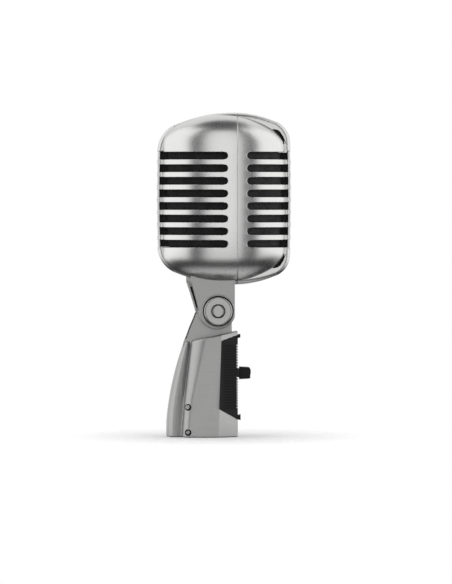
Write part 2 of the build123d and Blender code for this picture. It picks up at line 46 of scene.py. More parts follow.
# ---------------------------------------------------------------- dimensions, mm, as in the CAD model
HCY, HCZ = -3.78, 138.2
HALF_W = 27.8
PLAN_N = 2.5
SEAM = -7.79                      # seam plane, from the head's centre
SIDE = (37.36, 49.8, 500.0, math.radians(3.0), 48.0)
FACE = (27.8, 49.8, 150.0, math.radians(13.0), 32.0)
CREST_F = (33.5, 50.06, 900.0, math.asin(33.0 / 900.0), 60.0)
CREST_R = (44.55, 50.06, 900.0, math.asin(28.0 / 900.0), 84.0)
APEX = -5.5
SLOT0, PITCH, SLOT_H, NSLOT = 163.15 - 138.2, 7.285, 4.27, 8
SR = SLOT_H / 2
BAND = 10.0


# ================================================================ materials
def nodes_of(name):
    m = bpy.data.materials.new(name)
    m.use_nodes = True
    nt = m.node_tree
    nt.nodes.clear()
    out = nt.nodes.new("ShaderNodeOutputMaterial")
    bs = nt.nodes.new("ShaderNodeBsdfPrincipled")
    nt.links.new(bs.outputs[0], out.inputs[0])
    return m, nt, bs


def N(nt, kind, **kw):
    n = nt.nodes.new(kind)
    for k, v in kw.items():
        setattr(n, k, v)
    return n


def ramp(nt, fac, stops):
    r = N(nt, "ShaderNodeValToRGB")
    el = r.color_ramp.elements
    while len(el) < len(stops):
        el.new(0.5)
    for e, (p, c) in zip(el, stops):
        e.position = p
        e.color = (*c, 1.0) if len(c) == 3 else c
    nt.links.new(fac, r.inputs[0])
    return r.outputs[0]


def maprange(nt, v, a, b, c, d):
    m = N(nt, "ShaderNodeMapRange")
    m.inputs["From Min"].default_value = a
    m.inputs["From Max"].default_value = b
    m.inputs["To Min"].default_value = c
    m.inputs["To Max"].default_value = d
    nt.links.new(v, m.inputs["Value"])
    return m.outputs[0]


def coords(nt, scale=(1, 1, 1), rot=(0, 0, 0)):
    tc = N(nt, "ShaderNodeTexCoord")
    mp = N(nt, "ShaderNodeMapping")
    mp.inputs["Scale"].default_value = scale
    mp.inputs["Rotation"].default_value = rot
    nt.links.new(tc.outputs["Object"], mp.inputs["Vector"])
    return mp.outputs[0]


def noise(nt, vec, scale, detail=2.0, rough=0.5):
    n = N(nt, "ShaderNodeTexNoise")
    n.inputs["Scale"].default_value = scale
    n.inputs["Detail"].default_value = detail
    n.inputs["Roughness"].default_value = rough
    nt.links.new(vec, n.inputs["Vector"])
    return n.outputs[0]


def mathn(nt, op, a, b):
    m = N(nt, "ShaderNodeMath", operation=op)
    for i, v in enumerate((a, b)):
        if isinstance(v, (int, float)):
            m.inputs[i].default_value = v
        else:
            nt.links.new(v, m.inputs[i])
    return m.outputs[0]


def metal(name, lo, hi, r0, r1, brush=(1, 1, 1), brush_scale=900.0, bead=1500.0, bump=0.05, dist=0.00006):
    """Satin metal: soft tone variation, brushed streaks, fine blasted grain and a little handling haze."""
    m, nt, bs = nodes_of(name)
    base = coords(nt)
    streak = noise(nt, coords(nt, brush), brush_scale, 3.0, 0.6)
    grain = noise(nt, base, bead, 2.0, 0.55)
    cloud = noise(nt, base, 45.0, 3.0, 0.55)
    mix = mathn(nt, "ADD", mathn(nt, "MULTIPLY", streak, 0.45), mathn(nt, "ADD", mathn(nt, "MULTIPLY", grain, 0.15), mathn(nt, "MULTIPLY", cloud, 0.40)))
    nt.links.new(ramp(nt, mix, [(0.20, lo), (0.80, hi)]), bs.inputs["Base Color"])
    nt.links.new(maprange(nt, mix, 0.2, 0.8, r0, r1), bs.inputs["Roughness"])
    bs.inputs["Metallic"].default_value = 1.0
    h = mathn(nt, "ADD", mathn(nt, "MULTIPLY", streak, 0.8), mathn(nt, "MULTIPLY", cloud, 0.2))
    b = N(nt, "ShaderNodeBump")
    b.inputs["Strength"].default_value = bump
    b.inputs["Distance"].default_value = dist
    nt.links.new(h, b.inputs["Height"])
    nt.links.new(b.outputs[0], bs.inputs["Normal"])
    return m


def plastic(name, lo, hi, r0, r1, scale=1400.0, bump=0.15, dist=0.00008, spec=0.5):
    m, nt, bs = nodes_of(name)
    v = coords(nt)
    g = noise(nt, v, scale, 3.0, 0.6)
    c = noise(nt, v, 90.0, 3.0, 0.5)
    mix = mathn(nt, "ADD", mathn(nt, "MULTIPLY", g, 0.6), mathn(nt, "MULTIPLY", c, 0.4))
    nt.links.new(ramp(nt, mix, [(0.3, lo), (0.7, hi)]), bs.inputs["Base Color"])
    nt.links.new(maprange(nt, mix, 0.3, 0.7, r0, r1), bs.inputs["Roughness"])
    bs.inputs["Specular IOR Level"].default_value = spec
    b = N(nt, "ShaderNodeBump")
    b.inputs["Strength"].default_value = bump
    b.inputs["Distance"].default_value = dist
    nt.links.new(g, b.inputs["Height"])
    nt.links.new(b.outputs[0], bs.inputs["Normal"])
    return m


def cloth(name, lo, hi):
    """Open-cell foam faced with fine dark cloth: a tight weave over a soft mottled ground."""
    m, nt, bs = nodes_of(name)
    v = coords(nt)
    w1 = N(nt, "ShaderNodeTexWave", wave_type="BANDS", bands_direction="Z")
    w2 = N(nt, "ShaderNodeTexWave", wave_type="BANDS", bands_direction="Y")
    for w in (w1, w2):
        w.inputs["Scale"].default_value = 480.0
        w.inputs["Distortion"].default_value = 1.2
        w.inputs["Detail"].default_value = 1.0
        nt.links.new(v, w.inputs["Vector"])
    weave = mathn(nt, "MULTIPLY", w1.outputs[1], w2.outputs[1])
    g = noise(nt, v, 1500.0, 3.0, 0.65)
    c = noise(nt, v, 160.0, 2.0, 0.5)
    mix = mathn(nt, "ADD", mathn(nt, "MULTIPLY", weave, 0.35), mathn(nt, "ADD", mathn(nt, "MULTIPLY", g, 0.45), mathn(nt, "MULTIPLY", c, 0.25)))
    nt.links.new(ramp(nt, mix, [(0.30, (lo, lo, lo * 1.04)), (0.70, (hi, hi, hi * 1.03))]), bs.inputs["Base Color"])
    nt.links.new(maprange(nt, mix, 0.2, 0.8, 0.98, 0.8), bs.inputs["Roughness"])
    bs.inputs["Specular IOR Level"].default_value = 0.25
    b = N(nt, "ShaderNodeBump")
    b.inputs["Strength"].default_value = 0.9
    b.inputs["Distance"].default_value = 0.0003
    nt.links.new(mix, b.inputs["Height"])
    nt.links.new(b.outputs[0], bs.inputs["Normal"])
    return m


HEAD_M = metal("satin_chrome_head", (0.58, 0.58, 0.575), (0.70, 0.70, 0.695), 0.25, 0.31, brush=(1, 1, 0.06), brush_scale=1100.0, bump=0.02, dist=0.00002)
BAND_M = metal("satin_chrome_band", (0.54, 0.54, 0.535), (0.66, 0.66, 0.655), 0.26, 0.33, brush=(0.1, 1, 1), brush_scale=1100.0, bump=0.02, dist=0.00002)
BASE_M = metal("satin_cast_base", (0.33, 0.33, 0.327), (0.44, 0.44, 0.436), 0.37, 0.46, brush=(1, 0.05, 1), brush_scale=1800.0, bump=0.12, dist=0.00004)
CAP_M = metal("polished_metal", (0.29, 0.29, 0.287), (0.38, 0.38, 0.376), 0.20, 0.28, brush=(1, 1, 1), brush_scale=1200.0, bump=0.05, dist=0.00003)
FORK_M = metal("satin_neck", (0.31, 0.31, 0.307), (0.40, 0.40, 0.395), 0.34, 0.43, brush=(1, 0.05, 1), brush_scale=1400.0, bump=0.05, dist=0.00003)
STEEL_M = metal("steel", (0.42, 0.42, 0.42), (0.56, 0.56, 0.56), 0.28, 0.42, bump=0.1)
BRASS_M = metal("brass", (0.62, 0.45, 0.20), (0.80, 0.60, 0.30), 0.22, 0.36, bump=0.1)
GOLD_M = metal("pin_plating", (0.62, 0.60, 0.56), (0.76, 0.74, 0.70), 0.16, 0.28, bump=0.05)
ALU_M = metal("cartridge_metal", (0.55, 0.55, 0.55), (0.70, 0.70, 0.70), 0.3, 0.42, bump=0.1)
MAG_M = plastic("magnet", (0.03, 0.03, 0.032), (0.09, 0.09, 0.095), 0.35, 0.55)
FOAM_M = cloth("dark_foam", 0.006, 0.040)
FOAM_F = cloth("dark_foam_front", 0.012, 0.085)
BLACK_M = plastic("black_plastic", (0.0035, 0.0035, 0.0038), (0.0090, 0.0090, 0.0095), 0.50, 0.66, scale=1700.0, bump=0.12, spec=0.22)
INSUL_M = plastic("insulator", (0.012, 0.012, 0.012), (0.035, 0.035, 0.035), 0.3, 0.45)
RUBBER_M = plastic("rubber", (0.010, 0.010, 0.010), (0.030, 0.030, 0.030), 0.6, 0.8)
FILM_M = plastic("film", (0.38, 0.33, 0.20), (0.55, 0.48, 0.32), 0.15, 0.25)
WIRE_M = plastic("wire", (0.30, 0.015, 0.012), (0.48, 0.04, 0.03), 0.3, 0.45)
NYLON_M = plastic("nylon", (0.62, 0.60, 0.54), (0.76, 0.74, 0.68), 0.35, 0.5)
SLOT_MAT = {"satin_chrome_head": HEAD_M, "satin_cast_base": BASE_M, "polished_metal": CAP_M, "steel": STEEL_M, "dark_foam": FOAM_M,
            "black_plastic": BLACK_M, "insulator": INSUL_M, "brass": BRASS_M, "rubber": RUBBER_M, "cartridge_metal": ALU_M,
            "film": FILM_M, "magnet": MAG_M, "wire": WIRE_M, "nylon": NYLON_M}

for sp in frame["record"]["subparts"]:
    o = frame["nodes"].get(sp["node"])
    if o is None:
        continue
    mat = GOLD_M if sp["node"] == "connector_pins" else SLOT_MAT[sp["material_slot"]]
    o.data.materials.clear()
    o.data.materials.append(mat)


# ================================================================ mesh helpers
def obj_from(name, verts, faces, mat, body, replaces=(), angle=38.0, smooth=True):
    me = bpy.data.meshes.new(name)
    me.from_pydata([(a * MM, b * MM, c * MM) for a, b, c in verts], [], [list(f) for f in faces])
    me.validate()
    bm = bmesh.new()
    bm.from_mesh(me)
    bmesh.ops.remove_doubles(bm, verts=bm.verts, dist=1e-7)
    bmesh.ops.recalc_face_normals(bm, faces=bm.faces)
    bm.to_mesh(me)
    bm.free()
    if smooth:
        for p in me.polygons:
            p.use_smooth = True
        me.set_sharp_from_angle(angle=math.radians(angle))
    me.materials.append(mat)
    o = bpy.data.objects.new(name, me)
    bpy.context.scene.collection.objects.link(o)
    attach(o, body)
    if replaces:
        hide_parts(*replaces)
    return o


def bevel(o, width, seg=2, angle=35.0, clamp=False):
    m = o.modifiers.new("edge", "BEVEL")
    m.width = width * MM
    m.segments = seg
    m.limit_method = "ANGLE"
    m.angle_limit = math.radians(angle)
    m.use_clamp_overlap = clamp
    m.harden_normals = True
    m.miter_outer = "MITER_ARC"
    return m


def quarter(a, b, r1, alpha, r2, t=0.0):
    u = (math.cos(alpha), math.sin(alpha))
    c1 = (a - r1, 0.0)
    c3 = (0.0, b - r2)
    w = (c1[0] + r1 * u[0] - c3[0], c1[1] + r1 * u[1] - c3[1])
    r = (w[0] ** 2 + w[1] ** 2 - r2 ** 2) / (2 * (w[0] * u[0] + w[1] * u[1] - r2))
    ub = ((w[0] - r * u[0]) / (r2 - r), (w[1] - r * u[1]) / (r2 - r))
    beta = math.atan2(ub[1], ub[0])
    c2 = (c1[0] + (r1 - r) * u[0], c1[1] + (r1 - r) * u[1])
    return [(c1, r1 - t, 0.0, alpha), (c2, r - t, alpha, beta), (c3, r2 - t, beta, math.pi / 2)]


def arc_x(q, z):
    """x on the quarter curve at height z."""
    z = abs(z)
    for c, r, a0, a1 in q:
        if z <= c[1] + r * math.sin(a1) + 1e-9:
            return c[0] + math.sqrt(max(r * r - (z - c[1]) ** 2, 0.0))
    return 0.0


def arc_walk(q, n0, n1, n2):
    """Points (x, z, angle) along the quarter curve."""
    pts = []
    for (c, r, a0, a1), n in zip(q, (n0, n1, n2)):
        for i in range(n):
            a = a0 + (a1 - a0) * i / n
            pts.append((c[0] + r * math.cos(a), c[1] + r * math.sin(a), a))
    c, r, a0, a1 = q[2]
    pts.append((c[0] + r * math.cos(a1), c[1] + r * math.sin(a1), a1))
    return pts


QS, QF = quarter(*SIDE), quarter(*FACE)
QCF, QCR = quarter(*CREST_F), quarter(*CREST_R)


def dep(z):
    return arc_x(QS, z)


def wid(z):
    return arc_x(QF, z)


def t_of(y, d):
    """angle from the front (0) to the rear (pi) of a point at depth y on a section of half depth d."""
    c = min(abs(y) / d, 0.9999) ** (PLAN_N / 2)
    a = math.acos(c)
    return a if y < 0 else math.pi - a


def smooth(v, a, b):
    f = min(1.0, max(0.0, (v - a) / (b - a)))
    return f * f * (3 - 2 * f)


def dep_rear(z):
    """Half depth behind the centre plane: over the top and bottom the panel fills out to the band."""
    z = max(-49.79, min(49.79, z))
    return dep(z) + smooth(abs(z), 24.0, 37.0) * max(0.0, APEX + arc_x(QCR, z) - 0.2 - dep(z))


def surf(s, t, z):
    d, w = dep(z), wid(z)
    c, sn = math.cos(t), math.sin(t)
    if c < 0:
        d = dep_rear(z)
    else:
        d = d + 1.35 * smooth(abs(z), 25.5, 34.0) * (1 - smooth(abs(z), 39.0, 46.0))
    y = -d * math.copysign(abs(c) ** (2 / PLAN_N), c)
    x = s * w * abs(sn) ** (2 / PLAN_N)
    return (x, HCY + y, HCZ + z)


# ================================================================ casing shells
def row_list():
    """(z, slot index or None, offset inside the slot) for every row of the shell grid, bottom to top."""
    rows = []
    top0 = SLOT0 + SR
    bot0 = SLOT0 - PITCH * (NSLOT - 1) - SR
    walk = [(x, z) for x, z, a in arc_walk(QS, 40, 60, 60)]

    def outside(z0):
        zs = [z for x, z in walk if z > z0 + 0.4]
        s = [0.0]
        pts = [(dep(z0), z0)] + [(dep(z), z) for z in zs]
        for p, q in zip(pts, pts[1:]):
            s.append(s[-1] + math.hypot(p[0] - q[0], p[1] - q[1]))
        n = 44
        out = []
        for i in range(1, n):
            target = s[-1] * i / n
            k = int(np.searchsorted(s, target)) - 1
            k = max(0, min(k, len(pts) - 2))
            f = (target - s[k]) / (s[k + 1] - s[k])
            out.append(pts[k][1] + f * (pts[k + 1][1] - pts[k][1]))
        return out
    for z in reversed(outside(-bot0)):
        rows.append((-z, None, 0))
    for k in range(NSLOT - 1, -1, -1):
        zc = SLOT0 - PITCH * k
        for i in range(11):
            a = -math.pi / 2 + math.pi * i / 10
            rows.append((zc + SR * math.sin(a), k, SR * math.sin(a)))
        if k > 0:
            gap = PITCH - SLOT_H
            for f in (0.3, 0.7):
                rows.append((zc + SR + gap * f, None, 0))
    for z in outside(top0):
        rows.append((z, None, 0))
    return rows


ROWS = row_list()


def half_shell(front):
    """Open grid from one side of the seam round to the other, with the slots left out."""
    y_end = -13.39 if front else -2.37
    y_arc = y_end - SR if front else y_end + SR
    n_in = 46 if front else 64
    verts, faces = [], []
    dz0 = dep(26.0)
    cols_n = None
    for z, k, tau in ROWS:
        d = dep(z)
        dd = max(d, 12.5)
        ts = t_of(SEAM, dd)
        if abs(z) < 30:
            ta = t_of(y_arc, d)
        else:
            d30 = dep(30)
            ta0 = t_of(y_arc, d30)
            ts0 = t_of(SEAM, d30)
            if front:
                ta = ts * ta0 / ts0
            else:
                ta = math.pi - (math.pi - ts) * (math.pi - ta0) / (math.pi - ts0)
        if k is not None and abs(tau) < SR * 0.9999:
            bulge = math.sqrt(SR * SR - tau * tau)
            yb = y_arc + bulge if front else y_arc - bulge
            tb = t_of(yb, d)
        else:
            bulge = 0.0
            tb = ta + (0.0004 if front else -0.0004)
        if front:
            inner = [ta * i / n_in for i in range(n_in)] + [tb]
            mid = [t_of(y, d) for y in (-12.3, -10.6, -9.2)] if abs(z) < 30 else [ta + (ts - ta) * f for f in (0.5, 0.75, 0.9)]
            cols = inner + mid + [ts]
        else:
            inner = [math.pi - (math.pi - ta) * i / n_in for i in range(n_in)] + [tb]
            mid = [t_of(y, d) for y in (-3.3, -4.8, -6.4)] if abs(z) < 30 else [ta + (ts - ta) * f for f in (0.3, 0.6, 0.85)]
            cols = inner + mid + [ts]
        line = [surf(-1, t, z) for t in reversed(cols[1:])] + [surf(1, t, z) for t in cols]
        cols_n = len(cols)
        verts.append(line)
    flat = [p for line in verts for p in line]
    width = 2 * cols_n - 1
    mid_i = cols_n - 1
    for j in range(len(ROWS) - 1):
        za, ka, _ = ROWS[j]
        zb, kb, _ = ROWS[j + 1]
        in_slot = ka is not None and ka == kb
        zm = (za + zb) / 2
        for i in range(width - 1):
            c = min(abs(i - mid_i), abs(i + 1 - mid_i))     # columns counted from the centre line
            if in_slot and c < n_in:
                continue
            if 29.5 < abs(zm) < 46.0 and front:
                xm = abs(flat[j * width + i][0] + flat[j * width + i + 1][0]) / 2
                if xm < 8.6:
                    continue
            a = j * width + i
            faces.append((a, a + 1, a + width + 1, a + width))
    return flat, faces


def shell(front):
    v, f = half_shell(front)
    name = "front_shell" if front else "rear_shell"
    me_obj = obj_from(name, v, f, HEAD_M, "head", ("front_casing",) if front else ("rear_casing",), angle=60)
    # outward normals: a face on the near side points to -X
    me = me_obj.data
    best = min(me.polygons, key=lambda p: p.center.x)
    if best.normal.x > 0:
        me.flip_normals()
    so = me_obj.modifiers.new("wall", "SOLIDIFY")
    so.thickness = 2.2 * MM
    so.offset = -1.0
    so.use_even_offset = False
    so.use_rim = True
    bevel(me_obj, 0.32, 3, 50.0)
    return me_obj


front_shell = shell(True)
rear_shell = shell(False)


# ================================================================ centre band
def band_section(depth, grooves):
    """Closed cross-section, as (x, depth below the crest)."""
    r = 2.3
    pts = [(-BAND, depth)]
    pts += [(-BAND + r - r * math.cos(a), r - r * math.sin(a)) for a in np.linspace(0, math.pi / 2, 7)]
    if grooves:
        for g in (-3.5, 3.5):
            pts += [(g - 0.62, 0.0), (g - 0.42, 0.10), (g - 0.18, 0.42), (g + 0.18, 0.42), (g + 0.42, 0.10), (g + 0.62, 0.0)]
            if g < 0:
                pts += [(0.0, 0.0)]
    else:
        pts += [(-4.0, 0.0), (0.0, 0.0), (4.0, 0.0)]
    pts += [(BAND - r + r * math.cos(a), r - r * math.sin(a)) for a in np.linspace(math.pi / 2, 0, 7)]
    pts += [(BAND, depth)]
    return pts


def crest_path(front, sign):
    """(y, z, ny, nz) from the slot zone over the top (or bottom) to the seam plane."""
    q = QCF if front else QCR
    sy = -1 if front else 1
    z0 = (SLOT0 + SR) if sign > 0 else abs(SLOT0 - PITCH * (NSLOT - 1) - SR)
    out = []
    for x, z, a in arc_walk(q, 40, 160, 110):
        y = APEX + sy * x
        if z < z0 - 1e-6:
            continue
        if front and y > SEAM:
            continue
        out.append((y, sign * z, sy * math.cos(a), sign * math.sin(a)))
    x0 = arc_x(q, z0)
    out.insert(0, (APEX + sy * x0, sign * z0, sy * 1.0, 0.0))
    if front:
        # end exactly on the seam plane
        xs = APEX - SEAM
        c, r, a0, a1 = q[2]
        zz = c[1] + math.sqrt(r * r - xs * xs)
        out.append((SEAM, sign * zz, -xs / r, sign * (zz - c[1]) / r))
    else:
        # from the apex forward to the seam plane on the front half's curve
        c, r, a0, a1 = QCF[2]
        for xs in np.linspace(0.4, APEX - SEAM, 5):
            zz = c[1] + math.sqrt(r * r - xs * xs)
            out.append((APEX - xs, sign * zz, -xs / r, sign * (zz - c[1]) / r))
    return out


LEAF = [(-28.6, 40.35), (-29.6, 40.15), (-31.0, 39.8), (-32.5, 38.75), (-34.35, 36.0), (-36.1, 31.4)]


def gap_depth(y, z, ny, nz, front):
    """Depth of the band's side wall; along the vents of the front half it stops at the vent's outer edge."""
    if not front:
        return 8.0
    az, anz = abs(z), abs(nz)
    best = 8.0
    for (a0, b0), (a1, b1) in zip(LEAF, LEAF[1:]):
        # (y, az) - d (ny, anz) = p0 + f (p1 - p0)
        ux, uz = a1 - a0, b1 - b0
        det = -ny * -uz - (-anz) * (-ux)
        if abs(det) < 1e-9:
            continue
        rx, rz = a0 - y, b0 - az
        d = (rx * -uz - rz * -ux) / det
        f = (-ny * rz - (-anz) * rx) / det
        if -1e-6 <= f <= 1 + 1e-6 and 0 < d < 8:
            best = min(best, d)
    return best


def band_cap(front, sign):
    path = crest_path(front, sign)
    verts, faces = [], []
    n = None
    for y, z, ny, nz in path:
        d = gap_depth(y, z, ny, nz, front)
        prof = band_section(d, front)
        n = len(prof)
        for x, dd in prof:
            # crown across the top: the band drops toward its edges near the apex
            k = max(0.0, abs(nz) - 0.90) / 0.10
            drop = 1.15 * (abs(x) / BAND) ** 2 * min(1.0, k)
            verts.append((x, HCY + y - ny * (dd + drop), HCZ + z - nz * (dd + drop)))
    m = len(path)
    for j in range(m - 1):
        for i in range(n):
            a, b = j * n + i, j * n + (i + 1) % n
            faces.append((a, b, b + n, a + n))
    faces.append(tuple(range(n)))
    faces.append(tuple(reversed(range((m - 1) * n, m * n))))
    return verts, faces


def prism(outline, z0, z1):
    n = len(outline)
    v = [(x, y, z0) for x, y in outline] + [(x, y, z1) for x, y in outline]
    f = [(i, (i + 1) % n, n + (i + 1) % n, n + i) for i in range(n)]
    f += [tuple(reversed(range(n))), tuple(range(n, 2 * n))]
    return v, f


def bars(front):
    """The horizontal bars of the band, one between each two slots, and the vertical ribs behind their faces."""
    sy = -1 if front else 1
    q = QCF if front else QCR
    v, f = [], []

    def add(vv, ff):
        o = len(v)
        v.extend(vv)
        f.extend([tuple(o + i for i in face) for face in ff])
    for k in range(NSLOT - 1):
        za = SLOT0 - PITCH * (k + 1) + SR
        zb = SLOT0 - PITCH * k - SR
        zc = (za + zb) / 2
        yc = APEX + sy * arc_x(q, zc)
        r = 2.3
        out = [(-BAND, yc - sy * 6.5)]
        out += [(-BAND + r - r * math.cos(a), yc - sy * (r - r * math.sin(a))) for a in np.linspace(0, math.pi / 2, 9)]
        out += [(BAND - r + r * math.cos(a), yc - sy * (r - r * math.sin(a))) for a in np.linspace(math.pi / 2, 0, 9)]
        out += [(BAND, yc - sy * 6.5)]
        vv, ff = prism([(x, HCY + y) for x, y in out], HCZ + za, HCZ + zb)
        add(vv, ff)
    z0 = SLOT0 - PITCH * (NSLOT - 1) - SR - 1.2
    z1 = SLOT0 + SR + 1.2
    for xc, w in ((-8.55, 2.3), (0.0, 3.0), (8.55, 2.3)):
        n = 36
        ring = []
        for i in range(13):
            a = math.pi * i / 12
            ring.append((xc - w / 2 * math.cos(a), 0.95 - 0.7 * math.sin(a)))
        ring.append((xc + w / 2, 1.75))
        ring.append((xc - w / 2, 1.75))
        vv, ff = [], []
        for j in range(n + 1):
            z = z0 + (z1 - z0) * j / n
            yc = APEX + sy * arc_x(q, z)
            vv += [(x, HCY + yc - sy * d, HCZ + z) for x, d in ring]
        m = len(ring)
        for j in range(n):
            for i in range(m):
                a, b = j * m + i, j * m + (i + 1) % m
                ff.append((a, b, b + m, a + m))
        ff.append(tuple(range(m)))
        ff.append(tuple(reversed(range(n * m, (n + 1) * m))))
        add(vv, ff)
    return v, f


for front in (True, False):
    tag = "front" if front else "rear"
    for sign, nm in ((1, "crown"), (-1, "chin")):
        v, f = band_cap(front, sign)
        o = obj_from("%s_band_%s" % (tag, nm), v, f, BAND_M, "head", angle=32)
        bevel(o, 0.3, 2, 50.0)
    v, f = bars(front)
    o = obj_from("%s_band_grille" % tag, v, f, BAND_M, "head", angle=32)
    bevel(o, 0.38, 3, 50.0)


# ================================================================ dark cloth-faced foam behind the slots
def screen(front):
    off = 3.1
    verts, faces = [], []
    zs = np.linspace(-45.0, 45.0, 120) if front else np.linspace(-31.5, 31.5, 90)
    n = 120
    for z in zs:
        d, w = dep(z) - off, wid(z) - off
        d, w = max(d, 1.0), max(w, 1.0)
        t1 = t_of(SEAM - 0.6, dep(z)) if front else math.pi - t_of(SEAM + 0.6, dep(z))
        for i in range(-n // 2, n // 2 + 1):
            t = t1 * i / (n // 2)
            c, s = math.cos(t), math.sin(t)
            y = -d * math.copysign(abs(c) ** 0.8, c)
            if not front:
                y = -y
            x = w * math.copysign(abs(s) ** 0.8, s)
            verts.append((x, HCY + y, HCZ + z))
    m = n + 1
    for j in range(len(zs) - 1):
        for i in range(n):
            a = j * m + i
            faces.append((a, a + 1, a + m + 1, a + m))
    nm = "front_foam" if front else "rear_foam"
    o = obj_from(nm, verts, faces, FOAM_F if front else FOAM_M, "head", ("front_foam_liner",) if front else ("rear_foam_liner",), angle=80)
    me = o.data
    best = min(me.polygons, key=lambda p: p.center.x)
    if best.normal.x > 0:
        me.flip_normals()
    so = o.modifiers.new("wall", "SOLIDIFY")
    so.thickness = 1.2 * MM
    so.offset = -1.0
    return o


screen(True)
screen(False)


def strip(front):
    """The foam liner where it swells into the centre band, behind the ribs; the dark strip also stands as painted shade
    for the inside of the band's channel.
    """
    sy = -1 if front else 1
    q = QCF if front else QCR
    zs = np.linspace(-43.5, 43.5, 90) if front else np.linspace(-29.6, 29.6, 60)
    v, f = [], []
    for z in zs:
        if abs(z) < 30:
            yo = APEX + sy * (arc_x(q, z) - 1.8)
        else:
            yo = APEX + sy * (arc_x(q, z) - 3.3)
        yi = sy * max(dep(z) - 5.2, 3.0)
        r = 1.0
        for x, y in ((-8.3, yi), (-8.3, yo - sy * r), (-8.0, yo - sy * 0.3), (-7.3, yo), (0, yo), (7.3, yo), (8.0, yo - sy * 0.3), (8.3, yo - sy * r), (8.3, yi)):
            v.append((x, HCY + y, HCZ + z))
    m = 9
    for j in range(len(zs) - 1):
        for i in range(m):
            a, b = j * m + i, j * m + (i + 1) % m
            f.append((a, b, b + m, a + m))
    f.append(tuple(range(m)))
    f.append(tuple(reversed(range((len(zs) - 1) * m, len(zs) * m))))
    # foam, and painted shade for the inside of the band's channel
    nm = "front_foam_shade_ridge" if front else "rear_foam_shade_ridge"
    o = obj_from(nm, v, f, FOAM_M, "head", angle=50)


strip(True)
strip(False)


# ================================================================ turned pieces
PY, PZ = -0.5, 73.0


def lathe(profile, cy, cz, sign, n=96):
    """Profile of (x, r) points turned about an axis along X through (cy, cz); the last point may lie on the axis."""
    v, f = [], []
    m = len(profile)
    for i in range(n):
        a = 2 * math.pi * i / n
        for x, r in profile:
            v.append((sign * x, cy + max(r, 0.001) * math.cos(a), cz + max(r, 0.001) * math.sin(a)))
    for i in range(n):
        j = (i + 1) % n
        for k in range(m - 1):
            f.append((i * m + k, i * m + k + 1, j * m + k + 1, j * m + k))
    f.append(tuple(i * m for i in range(n)))
    f.append(tuple(i * m + m - 1 for i in reversed(range(n))))
    return v, f


CAP = [(12.1, 8.1), (12.4, 8.25), (15.60, 8.25), (15.85, 8.20), (16.05, 8.08), (16.22, 7.90), (16.33, 7.65), (16.39, 7.3), (16.40, 6.4), (16.40, 4.30),
       (16.37, 4.12), (16.28, 4.02), (16.1, 3.97), (15.2, 3.95), (15.1, 3.9), (15.1, 3.52), (15.2, 3.47), (16.2, 3.45), (16.38, 3.38), (16.47, 3.2), (16.52, 2.7), (16.57, 1.3), (16.58, 0.0)]
for sign, nm in ((-1, "near"), (1, "far")):
    v, f = lathe(CAP, PY, PZ, sign, 120)
    obj_from("pivot_button_%s" % nm, v, f, CAP_M, "head", ("pivot_cap_%s" % nm,), angle=48)
RING = [(11.0, 8.75), (12.35, 8.75), (12.55, 8.8), (12.66, 8.93), (12.7, 9.15), (12.66, 9.38), (12.52, 9.55), (12.25, 9.65), (11.0, 9.68)]
rv, rf = [], []
for sign in (-1, 1):
    v, f = [], []
    n, m = 120, len(RING)
    for i in range(n):
        a = 2 * math.pi * i / n
        for x, r in RING:
            v.append((sign * x, PY + r * math.cos(a), PZ + r * math.sin(a)))
    for i in range(n):
        j = (i + 1) % n
        for k in range(m):
            k2 = (k + 1) % m
            f.append((i * m + k, i * m + k2, j * m + k2, j * m + k))
    o = len(rv)
    rv += v
    rf += [tuple(o + q for q in face) for face in f]
obj_from("pivot_seat_rings", rv, rf, FORK_M, "head", ("pivot_rings",), angle=50)


def washer(x0, x1, r0, r1, n=96):
    """Flat ring about the pivot axis."""
    v, f = [], []
    for i in range(n):
        a = 2 * math.pi * i / n
        for x, r in ((x0, r0), (x1, r0), (x1, r1), (x0, r1)):
            v.append((x, PY + r * math.cos(a), PZ + r * math.sin(a)))
    for i in range(n):
        j = (i + 1) % n
        for k in range(4):
            q = (k + 1) % 4
            f.append((i * 4 + k, i * 4 + q, j * 4 + q, j * 4 + k))
    return v, f


# painted shade: thin dark rings set into the gaps round each pivot button and round its centre, standing for the shadow
# in those gaps
PIVOT_SHADOW_RINGS = []
for sg in (-1, 1):
    PIVOT_SHADOW_RINGS.append((*sorted((sg * 15.12, sg * 15.75)), 3.50, 3.88))
    PIVOT_SHADOW_RINGS.append((*sorted((sg * 12.02, sg * 12.30)), 8.28, 8.72))


# ================================================================ neck fork
def arc3(p, q, r, n):
    """Points on the circle through p, q and r."""
    (ax, ay), (bx, by), (cx, cy) = p, q, r
    d = 2 * (ax * (by - cy) + bx * (cy - ay) + cx * (ay - by))
    ux = ((ax * ax + ay * ay) * (by - cy) + (bx * bx + by * by) * (cy - ay) + (cx * cx + cy * cy) * (ay - by)) / d
    uy = ((ax * ax + ay * ay) * (cx - bx) + (bx * bx + by * by) * (ax - cx) + (cx * cx + cy * cy) * (bx - ax)) / d
    rad = math.hypot(ax - ux, ay - uy)
    a0, a1, am = math.atan2(ay - uy, ax - ux), math.atan2(cy - uy, cx - ux), math.atan2(by - uy, bx - ux)

    def near(v, ref):
        while v - ref > math.pi:
            v -= 2 * math.pi
        while v - ref < -math.pi:
            v += 2 * math.pi
        return v
    am = near(am, a0)
    a1 = near(a1, am)
    return [(ux + rad * math.cos(a0 + (a1 - a0) * i / n), uy + rad * math.sin(a0 + (a1 - a0) * i / n)) for i in range(n + 1)]


def on_arc(deg, r=10.9):
    return (0.1 + r * math.cos(math.radians(deg)), 73.3 + r * math.sin(math.radians(deg)))


def fork_outline(p, q, r, a0, top):
    pts = arc3(p, q, r, 16)
    if top > 16:
        pts = [(top, 99.0)] + pts
    pts += [on_arc(a0 + (-160 - a0) * i / 40) for i in range(41)]
    pts += [(-10.2, 72.6), (-10.2, 99.0)]
    if top <= 16:
        pts += [(top, 99.0)]
    return pts


